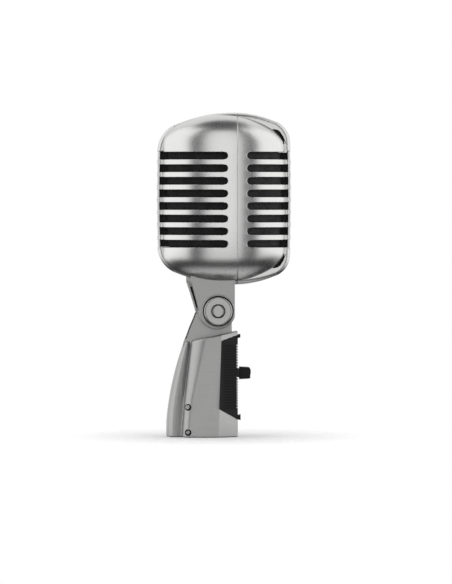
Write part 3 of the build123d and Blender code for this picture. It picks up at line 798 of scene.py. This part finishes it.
def slab(outline, x0, x1):
    n = len(outline)
    v = [(x0, y, z) for y, z in outline] + [(x1, y, z) for y, z in outline]
    f = [(i, (i + 1) % n, n + (i + 1) % n, n + i) for i in range(n)]
    f += [tuple(reversed(range(n))), tuple(range(n, 2 * n))]
    return v, f


def join(parts):
    v, f = [], []
    for vv, ff in parts:
        o = len(v)
        v += vv
        f += [tuple(o + i for i in face) for face in ff]
    return v, f


# the painted shade rings, in black plastic
v, f = join([washer(*q) for q in PIVOT_SHADOW_RINGS])
obj_from("pivot_shadow_rings", v, f, BLACK_M, "head", angle=35)
out_b = fork_outline((18.2, 90.2), (15.2, 80.9), (12.9, 73.0), -12, 18.2)
out_a = fork_outline((15.5, 90.2), (13.1, 81.4), (10.9, 72.9), -14, 15.5)
rim_o = arc3((18.2, 90.2), (15.2, 80.9), (12.9, 73.0), 16)
rim = rim_o + [(y - 1.25, z) for y, z in reversed(rim_o)]
blk = [(-10.0, 84.6), (15.6, 84.6), (17.8, 90.3), (17.8, 99.0), (-10.0, 99.0)]
parts = []
for sg in (-1, 1):
    lo_x, hi_x = sorted((sg * 6.2, sg * 7.6))
    parts.append(slab(out_b, lo_x, hi_x))
v, f = join(parts + [slab(blk, -7.0, 7.0)])
o = obj_from("fork_plates", v, f, FORK_M, "head", ("neck_fork",), angle=35)
bevel(o, 0.35, 3, 40.0, clamp=True)
parts = []
for sg in (-1, 1):
    lo_x, hi_x = sorted((sg * 7.5, sg * 12.0))
    parts.append(slab(out_a, lo_x, hi_x))
v, f = join(parts)
o = obj_from("fork_faces", v, f, FORK_M, "head", angle=35)
bevel(o, 0.75, 4, 40.0, clamp=True)
parts = []
for sg in (-1, 1):
    lo_x, hi_x = sorted((sg * 7.5, sg * 11.8))
    parts.append(slab(rim, lo_x, hi_x))
v, f = join(parts)
o = obj_from("fork_rims", v, f, FORK_M, "head", angle=35)
bevel(o, 0.4, 3, 40.0, clamp=True)
# painted shade: a dark slab laid in the groove between the fork's rim and its face, standing for the shadow in the
# groove
inner = [(y - 1.27, z) for y, z in rim_o if 74.5 < z < 87.0]
face_e = [(y + 0.02, z) for y, z in arc3((15.5, 90.2), (13.1, 81.4), (10.9, 72.9), 16) if 74.5 < z < 87.0]
v, f = join([slab(inner + list(reversed(face_e)), *sorted((sg * 7.55, sg * 11.0))) for sg in (-1, 1)])
obj_from("fork_groove_shadows", v, f, BLACK_M, "head", angle=35)

# ================================================================ base housing
REAR_Y = [(0.0, 29.9), (10.0, 29.7), (20.0, 28.5), (30.0, 26.7), (40.0, 24.3), (50.0, 21.3), (58.0, 18.6), (66.0, 15.6)]
FLUTE_Y = [(0.0, 21.2), (24.6, 19.25), (51.7, 16.0), (66.0, 13.9)]


def table(tab, z):
    """Smooth curve through a table, by monotone cubic pieces."""
    n = len(tab)
    sl = [(tab[i + 1][1] - tab[i][1]) / (tab[i + 1][0] - tab[i][0]) for i in range(n - 1)]
    tg = [sl[0]] + [(sl[i] + sl[i + 1]) / 2 for i in range(n - 2)] + [sl[-1]]
    for i in range(n - 1):
        z0, a0 = tab[i]
        z1, a1 = tab[i + 1]
        if z <= z1 or i == n - 2:
            h = z1 - z0
            f = (z - z0) / h
            return ((2 * f ** 3 - 3 * f * f + 1) * a0 + (f ** 3 - 2 * f * f + f) * h * tg[i]
                    + (-2 * f ** 3 + 3 * f * f) * a1 + (f ** 3 - f * f) * h * tg[i + 1])


def flow(pts, n):
    """Catmull-Rom samples through the points, n to each span."""
    out = []
    e = [tuple(2 * a - b for a, b in zip(pts[0], pts[1]))] + list(pts) + [tuple(2 * a - b for a, b in zip(pts[-1], pts[-2]))]
    for i in range(1, len(e) - 2):
        p0, p1, p2, p3 = e[i - 1:i + 3]
        for k in range(n):
            f = k / n
            out.append(tuple(0.5 * (2 * b + (c - a) * f + (2 * a - 5 * b + 4 * c - d) * f * f + (3 * b - a - 3 * c + d) * f ** 3)
                             for a, b, c, d in zip(p0, p1, p2, p3)))
    out.append(tuple(pts[-1]))
    return out


def base_half(z):
    """Half section (x >= 0) of the base at height z, from the rear round the side to the front."""
    t = z / 62.0
    yr, yf = table(REAR_Y, z), table(FLUTE_Y, z)
    dy = yr - yf
    w = 15.0 - 1.8 * t
    nose = 9.7 - 3.3 * t
    gd = 0.06 + 0.85 * smooth(z, 20.5, 30.0)
    yc, yfr = -0.8 - 1.7 * t, -11.87
    xf = 7.6 - 0.6 * t
    ridge = [(0.0, yr), (nose * 0.36, yr - dy * 0.03), (nose * 0.68, yr - dy * 0.12), (nose * 0.93, yr - dy * 0.27), (nose + 0.40, yr - dy * 0.46),
             (nose + 0.30, yr - dy * 0.64), (nose - 0.05 - 0.2 * gd, yf + 0.17 * dy + 0.25), (nose - 0.3 - 0.65 * gd, yf + 0.42),
             (nose - 0.3 - gd, yf + 0.05), (nose - 0.25 - gd, yf - 0.1)]
    p = flow(ridge, 6)
    x0, y0 = nose - 0.2 - gd, yf - 0.25
    ln = 3.9 + 4.6 * smooth(z, 12.0, 60.0)
    am = math.radians(73.0 + 7.0 * smooth(z, 22.0, 56.0))
    for i in range(26):
        a = am * i / 25
        p.append((x0 + (w - x0) * (math.sin(a) / math.sin(am)) ** 0.86, y0 - ln * ((1 - math.cos(a)) / (1 - math.cos(am))) ** 0.93))
    y1 = p[-1][1]
    for i in range(1, 13):
        f = i / 12
        p.append((w, y1 + (yc - y1) * f))
    for i in range(1, 31):
        f = i / 30
        p.append((w + (xf - w) * f, yc + (yfr - yc) * f))
    for i in range(1, 17):
        p.append((xf * (1 - i / 16), yfr))
    return p


def sh_z(y):
    return 55.2 + (17.4 - y) * 0.20862


CQ = [(-2.3, 55.7), (-14.5, 59.95), (-14.5, 8.2), (-1.1, 16.2)]      # outline of the switch cover from the side, (y, z)


def in_cover(y, z):
    """Distance inside the switch cover's outline; negative outside it."""
    best = 1e9
    n = len(CQ)
    for i in range(n):
        (a0, b0), (a1, b1) = CQ[i], CQ[(i + 1) % n]
        ex, ez = a1 - a0, b1 - b0
        ln = math.hypot(ex, ez)
        best = min(best, ((y - a0) * ez - (z - b0) * ex) / ln * COVER_SIGN)
    return best


COVER_SIGN = 1.0
COVER_SIGN = 1.0 if in_cover(-8.0, 35.0) > 0 else -1.0


def base_mesh():
    n_rows = 150
    probe = base_half(0.0)
    m = len(probe)
    full = 2 * m - 2
    cols = []
    for c in range(m):
        # height of the shoulder at this column
        z = 58.0
        for _ in range(12):
            z = sh_z(base_half(z)[c][1])
        cols.append(z)
    rows = []
    R = 1.2
    for j in range(n_rows + 1):
        f = j / n_rows
        row = []
        for c in range(m):
            z = (cols[c] - R) * f
            row.append([base_half(z)[c], z])
        rows.append(row)

    def inward(line, c):
        a = line[max(c - 1, 0)][0]
        b = line[min(c + 1, m - 1)][0]
        dx, dy = b[0] - a[0], b[1] - a[1]
        if c == 0:
            return 0.0, -1.0
        if c == m - 1:
            return 0.0, 1.0
        ln = math.hypot(dx, dy) or 1.0
        return dy / ln, -dx / ln
    verts = []
    top = rows[-1]
    nor = [inward(top, c) for c in range(m)]
    if nor[m // 2][0] > 0:
        nor = [(-a, -b) for a, b in nor]
    # the seat of the cover sits 1.3 mm under it
    for j, row in enumerate(rows):
        nr = [inward(row, c) for c in range(m)]
        if nr[m // 2 + 10][0] > 0:
            nr = [(-a, -b) for a, b in nr]
        nr[0] = (0.0, -1.0)
        nr[-1] = (0.0, 1.0)
        line = []
        for c, ((x, y), z) in enumerate(row):
            d = in_cover(y, z)
            k = 1.3 * smooth(d, 0.0, 0.45) if y < -0.5 else 0.0
            line.append((x + nr[c][0] * k, y + nr[c][1] * k, z))
        verts.append(line)
    nor[0] = (0.0, -1.0)
    nor[-1] = (0.0, 1.0)
    for i in range(1, 7):
        a = math.pi / 2 * i / 6
        line = []
        for c, ((x, y), z) in enumerate(top):
            k = R * (1 - math.cos(a))
            line.append((x + nor[c][0] * k, y + nor[c][1] * k, z + R * math.sin(a) - 0.20862 * nor[c][1] * k))
        verts.append(line)
    # small break of the lower edge
    low = verts[0]
    nr0 = [inward(rows[0], c) for c in range(m)]
    if nr0[m // 2 + 10][0] > 0:
        nr0 = [(-a, -b) for a, b in nr0]
    nr0[0] = (0.0, -1.0)
    nr0[-1] = (0.0, 1.0)
    verts[0] = [(x, y, 0.35) for x, y, z in low]
    verts = [[(x + nr0[c][0] * 0.35, y + nr0[c][1] * 0.35, 0.0) for c, (x, y, z) in enumerate(low)]] + verts
    bm = bmesh.new()
    grid = []
    for line in verts:
        right = [bm.verts.new((x * MM, y * MM, z * MM)) for x, y, z in line]
        left = [bm.verts.new((-x * MM, y * MM, z * MM)) for x, y, z in line[1:-1]]
        grid.append(right + list(reversed(left)))
    for j in range(len(grid) - 1):
        for c in range(full):
            d = (c + 1) % full
            bm.faces.new((grid[j][c], grid[j][d], grid[j + 1][d], grid[j + 1][c]))
    bm.faces.new(grid[-1])
    edges = []
    for c in range(full):
        edges.append(bm.edges.get((grid[0][c], grid[0][(c + 1) % full])))
    for cy, r, depth in ((0.0, 9.43, 16.05), (19.8, 8.1, 20.0)):
        k = 72
        lo_ring = [bm.verts.new((r * math.cos(2 * math.pi * i / k) * MM, (cy + r * math.sin(2 * math.pi * i / k)) * MM, 0.0)) for i in range(k)]
        hi_ring = [bm.verts.new((v.co.x, v.co.y, depth * MM)) for v in lo_ring]
        for i in range(k):
            edges.append(bm.edges.new((lo_ring[i], lo_ring[(i + 1) % k])))
        for i in range(k):
            q = (i + 1) % k
            bm.faces.new((lo_ring[i], lo_ring[q], hi_ring[q], hi_ring[i]))
        bm.faces.new(hi_ring)
    bmesh.ops.triangle_fill(bm, edges=edges, use_beauty=True, use_dissolve=False)
    bmesh.ops.recalc_face_normals(bm, faces=bm.faces)
    me = bpy.data.meshes.new("base_shell")
    bm.to_mesh(me)
    bm.free()
    return me


base_me = base_mesh()
base_me.materials.append(BASE_M)
base_o = bpy.data.objects.new("base_shell", base_me)
bpy.context.scene.collection.objects.link(base_o)
# counterbores of the side screws, cut once and kept as plain mesh
cut_parts = []
for sg in (-1, 1):
    for zz in (17.2, 2.6):
        n = 40
        ring = [(17.0 + 1.95 * math.cos(2 * math.pi * i / n), zz + 1.95 * math.sin(2 * math.pi * i / n)) for i in range(n)]
        cut_parts.append(slab(ring, *sorted((sg * 9.2, sg * 15.5))))
cv, cf = join(cut_parts)
cme = bpy.data.meshes.new("screw_holes")
cme.from_pydata([(a * MM, b * MM, c * MM) for a, b, c in cv], [], cf)
cbm = bmesh.new()
cbm.from_mesh(cme)
bmesh.ops.recalc_face_normals(cbm, faces=cbm.faces)
cbm.to_mesh(cme)
cbm.free()
cut_o = bpy.data.objects.new("screw_holes", cme)
bpy.context.scene.collection.objects.link(cut_o)
bo = base_o.modifiers.new("holes", "BOOLEAN")
bo.operation = "DIFFERENCE"
bo.solver = "EXACT"
bo.object = cut_o
bpy.context.view_layer.update()
done = bpy.data.meshes.new_from_object(base_o.evaluated_get(bpy.context.evaluated_depsgraph_get()))
base_o.modifiers.clear()
base_o.data = done
bpy.data.objects.remove(cut_o)
bpy.data.meshes.remove(cme)
done.name = "base_shell"
for p in done.polygons:
    p.use_smooth = True
done.set_sharp_from_angle(angle=math.radians(24))
if not done.materials:
    done.materials.append(BASE_M)
done.materials.append(BLACK_M)
for p in done.polygons:
    c = p.center
    p.material_index = 1 if (abs(c.x) < 0.0064 and 0.0205 < c.z < 0.053 and c.y < -0.0098) else 0
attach(base_o, "base")
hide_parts("base_housing")

tl = flow([(20.4, 52.6), (19.7, 55.2), (18.7, 57.6), (17.8, 59.9), (17.0, 62.2), (16.05, 64.6), (15.1, 66.9), (14.1, 69.2), (13.3, 71.4), (12.2, 73.2), (9.4, 77.6), (4.6, 81.2),
           (-0.5, 83.2), (-5.4, 81.9), (-9.0, 78.1), (-10.1, 73.2)], 5)
v, f = slab(tl + [(-8.4, 66.5), (-8.4, 51.0), (18.5, 51.0)], -5.7, 5.7)
o = obj_from("base_tongue", v, f, BASE_M, "base", angle=35)
bevel(o, 0.9, 4, 40.0, clamp=True)
# painted shade: a dark strip set 0.04 mm proud of the tongue along its rounded edge, standing for the shadow line of
# the edge
edge = [(y, z) for y, z in tl if 56.5 < z < 72.6]
v, f = join([slab([(y - 0.22, z - 0.08) for y, z in edge] + [(y - 0.80, z - 0.25) for y, z in reversed(edge)], *sorted((sg * 5.0, sg * 5.74)))
             for sg in (-1, 1)])
obj_from("tongue_edge_shadows", v, f, BLACK_M, "base", angle=35)

# ================================================================ side screws
SCREW = [(8.6, 1.5), (12.6, 1.5), (12.85, 1.44), (13.02, 1.25), (13.12, 0.9), (13.16, 0.45), (13.17, 0.0)]


def screw_set(name, z, node):
    """A small domed screw in each side, standing in a dark counterbore, with its driver slot painted across it as a
    dark bar of shade.
    """
    v, f = join([lathe(SCREW, 17.0, z, sg, 48) for sg in (-1, 1)])
    o = obj_from(name, v, f, STEEL_M, "base", (node,), angle=50)
    # painted shade: a black bar across each screw head stands for the dark recess of the driver slot
    v, f = join([slab([(16.0, z - 0.85), (16.25, z - 1.05), (18.0, z + 0.85), (17.75, z + 1.05)], *sorted((sg * 12.8, sg * 13.26))) for sg in (-1, 1)])
    obj_from(name + "_slot_shadows", v, f, BLACK_M, "base", angle=35)


screw_set("upper_side_screws", 17.2, "connector_screws")
screw_set("lower_side_screws", 2.6, "plug_stop_screws")

# ================================================================ stage, light, camera
me = bpy.data.meshes.new("floor")
ring = [(0.0, 0.0, 0.0)]
rads = (0.05, 0.1, 0.15, 0.2, 0.3)
for r in rads:
    ring += [(r * math.cos(2 * math.pi * i / 64), r * math.sin(2 * math.pi * i / 64), 0.0) for i in range(64)]
fcs = [(0, 1 + i, 1 + (i + 1) % 64) for i in range(64)]
for k in range(len(rads) - 1):
    o0, o1 = 1 + 64 * k, 1 + 64 * (k + 1)
    fcs += [(o0 + i, o1 + i, o1 + (i + 1) % 64, o0 + (i + 1) % 64) for i in range(64)]
me.from_pydata(ring, [], fcs)
floor = bpy.data.objects.new("floor", me)
floor.location = (0, 0, -0.0003)
bpy.context.scene.collection.objects.link(floor)
fm, fnt, fbs = nodes_of("pale_floor")
fn = noise(fnt, coords(fnt), 3.0, 2.0)
fnt.links.new(ramp(fnt, fn, [(0.3, (0.90, 0.90, 0.90)), (0.7, (0.93, 0.93, 0.93))]), fbs.inputs["Base Color"])
fbs.inputs["Roughness"].default_value = 0.9
# the floor fades out into the white surround
ftc = N(fnt, "ShaderNodeTexCoord")
fln = N(fnt, "ShaderNodeVectorMath", operation="LENGTH")
fnt.links.new(ftc.outputs["Object"], fln.inputs[0])
fgeo = N(fnt, "ShaderNodeNewGeometry")
fup = mathn(fnt, "SUBTRACT", 1.0, fgeo.outputs["Backfacing"])       # clear from below, so the underside of the base shows
fnt.links.new(mathn(fnt, "MULTIPLY", maprange(fnt, fln.outputs["Value"], 0.026, 0.085, 1.0, 0.0), fup), fbs.inputs["Alpha"])
floor.data.materials.append(fm)

world = bpy.data.worlds.new("studio")
bpy.context.scene.world = world
world.use_nodes = True
wt = world.node_tree
wt.nodes.clear()
wo = wt.nodes.new("ShaderNodeOutputWorld")
bgc = wt.nodes.new("ShaderNodeBackground")
bgr = wt.nodes.new("ShaderNodeBackground")
mixs = wt.nodes.new("ShaderNodeMixShader")
lp = wt.nodes.new("ShaderNodeLightPath")
tc = wt.nodes.new("ShaderNodeTexCoord")
sep = wt.nodes.new("ShaderNodeSeparateXYZ")
wt.links.new(tc.outputs["Generated"], sep.inputs[0])
wx, wy, wz = sep.outputs[0], sep.outputs[1], sep.outputs[2]
az = mathn(wt, "MULTIPLY", mathn(wt, "ARCTAN2", wy, mathn(wt, "MULTIPLY", wx, -1.0)), 180 / math.pi)      # 0 on the near side
aaz = mathn(wt, "ABSOLUTE", az, 0.0)
elv = mathn(wt, "MULTIPLY", mathn(wt, "ARCSINE", wz, 0.0), 180 / math.pi)


def soft(v, a, b, c, d):
    """1 between b and c, falling smoothly to 0 at a and d."""
    up = wt.nodes.new("ShaderNodeMapRange")
    up.interpolation_type = "SMOOTHSTEP"
    up.inputs["From Min"].default_value, up.inputs["From Max"].default_value = a, b
    dn = wt.nodes.new("ShaderNodeMapRange")
    dn.interpolation_type = "SMOOTHSTEP"
    dn.inputs["From Min"].default_value, dn.inputs["From Max"].default_value = c, d
    dn.inputs["To Min"].default_value, dn.inputs["To Max"].default_value = 1.0, 0.0
    wt.links.new(v, up.inputs["Value"])
    wt.links.new(v, dn.inputs["Value"])
    return mathn(wt, "MULTIPLY", up.outputs[0], dn.outputs[0])


def box_of(level, a_rng, e_rng):
    return mathn(wt, "MULTIPLY", mathn(wt, "MULTIPLY", soft(aaz, *a_rng), soft(elv, *e_rng)), level)


boxes = [box_of(1.22, (-3, -1, 10, 17), (-50, -18, 58, 68)),          # the box behind the camera
         box_of(1.26, (30, 39, 118, 135), (-46, -14, 66, 79)),        # the two large side boxes
         box_of(0.95, (122, 138, 200, 210), (-30, -10, 62, 76))]      # the white ground behind
tot = 0.035
for bx in boxes:
    tot = mathn(wt, "ADD", bx, tot)
wt.links.new(tot, bgr.inputs[1])
bgr.inputs[0].default_value = (1, 1, 1, 1)
bgc.inputs[0].default_value = (1, 1, 1, 1)
bgc.inputs[1].default_value = 1.0
wt.links.new(lp.outputs["Is Camera Ray"], mixs.inputs[0])
wt.links.new(bgr.outputs[0], mixs.inputs[1])
wt.links.new(bgc.outputs[0], mixs.inputs[2])
wt.links.new(mixs.outputs[0], wo.inputs[0])

TARGET = Vector((0.0, -4.99 * MM, 83.8 * MM))


cam_d = bpy.data.cameras.new("camera")
cam = bpy.data.objects.new("camera", cam_d)
bpy.context.scene.collection.objects.link(cam)
ca, ce, D = math.radians(-90.0), math.radians(1.5), 2.5
back = Vector((math.sin(ca) * math.cos(ce), -math.cos(ca) * math.cos(ce), math.sin(ce)))
cam.location = TARGET + back * D
cam.rotation_mode = "QUATERNION"
cam.rotation_quaternion = (-back).to_track_quat("-Z", "Y")
cam_d.sensor_width = 36.0
cam_d.lens = 36.0 * D / 0.34035
cam_d.clip_start, cam_d.clip_end = 0.05, 50.0
bpy.context.scene.camera = cam
bpy.context.scene.view_settings.view_transform = "Standard"
